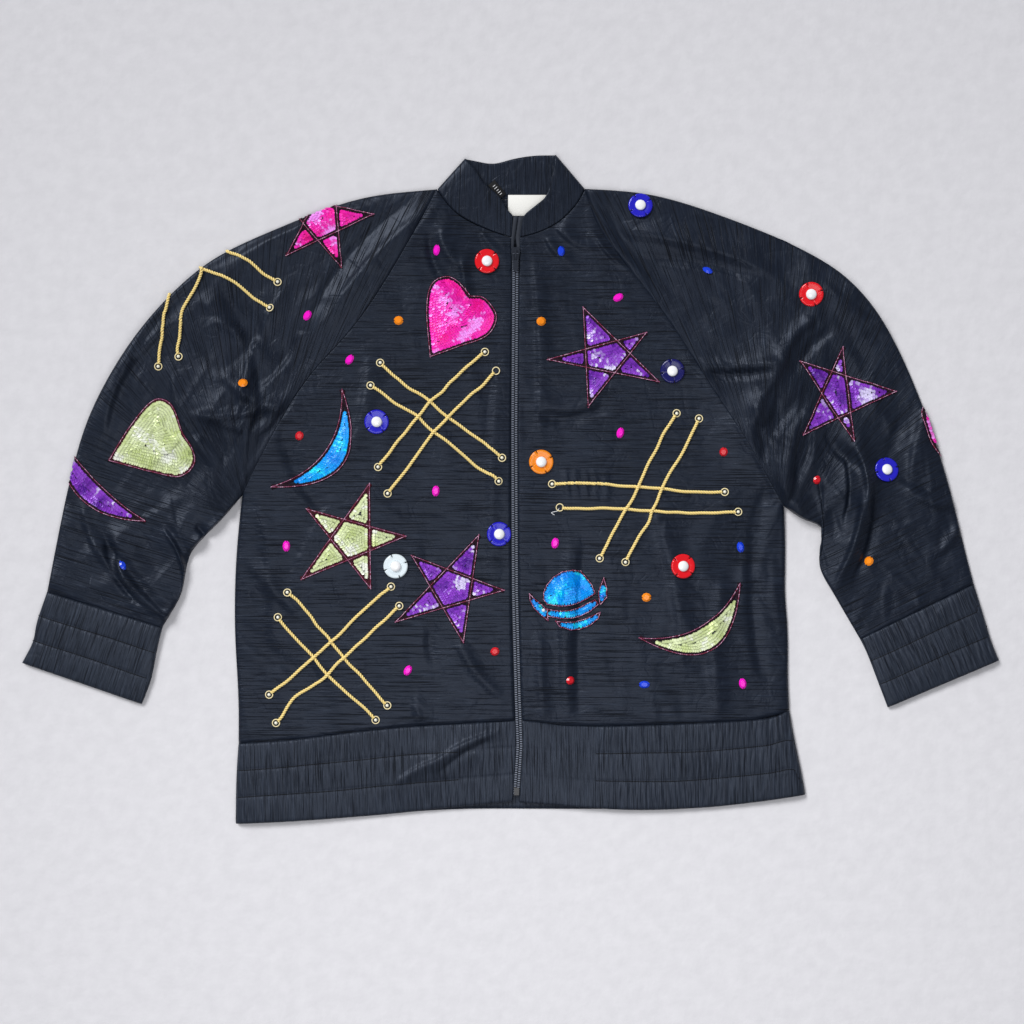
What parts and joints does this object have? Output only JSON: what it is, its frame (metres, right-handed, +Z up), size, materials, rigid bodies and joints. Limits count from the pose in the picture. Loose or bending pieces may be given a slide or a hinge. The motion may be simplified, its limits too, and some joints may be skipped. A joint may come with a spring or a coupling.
{
  "type": "sequin jacket",
  "caption": "Zip-front blouson in black slubbed silk with raglan sleeves, stand collar and gathered bands, sewn with sequinned shapes, cord lattices and jewels, laid flat.",
  "frame": {"origin": "centre of the garment's bounding box, on the surface that it lies on", "axes": "+X towards the wearer's left sleeve, +Y towards the collar, +Z up from the surface, out of the front"},
  "size_m": [1.0247, 0.7009, 0.0235],
  "materials": {
    "silk": "black slubbed silk with a satin sheen",
    "zip_teeth": "moulded black teeth on woven tape",
    "zip_metal": "black lacquered metal",
    "label_satin": "white satin, blank",
    "tag_cloth": "black woven tape",
    "sequins_pink": "iridescent sequins with metallic thread edging",
    "sequins_violet": "iridescent sequins with metallic thread edging",
    "sequins_lime": "iridescent sequins with metallic thread edging",
    "sequins_blue": "iridescent sequins with metallic thread edging",
    "gold_cord": "twisted metallic yarn",
    "jewel_blue": "clear-coated, with a pearl",
    "jewel_navy": "clear-coated, with a pearl",
    "jewel_red": "clear-coated, with a pearl",
    "jewel_orange": "clear-coated, with a pearl",
    "jewel_white": "clear-coated, with a pearl"
  },
  "bodies": {
    "garment": {"front_right": "silk", "front_left": "silk", "sleeve_right": "silk", "sleeve_left": "silk", "back": "silk", "collar": "silk", "waistband_right": "silk", "waistband_left": "silk", "waistband_back": "silk", "cuff_right": "silk", "cuff_left": "silk", "zip_right": "zip_teeth", "zip_left": "zip_teeth", "zip_box": "zip_teeth", "zip_slider": "zip_metal", "neck_label": "label_satin", "size_tag": "tag_cloth", "star_pink_shoulder": "sequins_pink", "heart_pink": "sequins_pink", "heart_pink_elbow": "sequins_pink", "star_violet_chest": "sequins_violet", "star_violet_hip": "sequins_violet", "star_violet_sleeve": "sequins_violet", "crescent_violet": "sequins_violet", "star_lime": "sequins_lime", "heart_lime": "sequins_lime", "crescent_lime": "sequins_lime", "crescent_blue": "sequins_blue", "planet": "sequins_blue", "lattice_chest": "gold_cord", "lattice_hip": "gold_cord", "lattice_left": "gold_cord", "lattice_sleeve": "gold_cord", "cord_sleeve_upper": "gold_cord", "cord_sleeve_lower": "gold_cord", "round_blue_shoulder": "jewel_blue", "round_blue_chest": "jewel_blue", "round_blue_elbow": "jewel_blue", "round_blue_zip": "jewel_blue", "round_navy": "jewel_navy", "round_red_neck": "jewel_red", "round_red_sleeve": "jewel_red", "round_red_hip": "jewel_red", "round_orange": "jewel_orange", "round_white": "jewel_white"},
    "pull": {"pull_tab": "zip_metal"}
  },
  "joints": [
    {"name": "pull_tab_turn", "type": "hinge", "parent": "garment", "child": "pull", "pos_m": [0.0058, 0.247, 0.0097], "axis": [-1, 0, 0], "range_deg": [0, 160]}
  ]
}
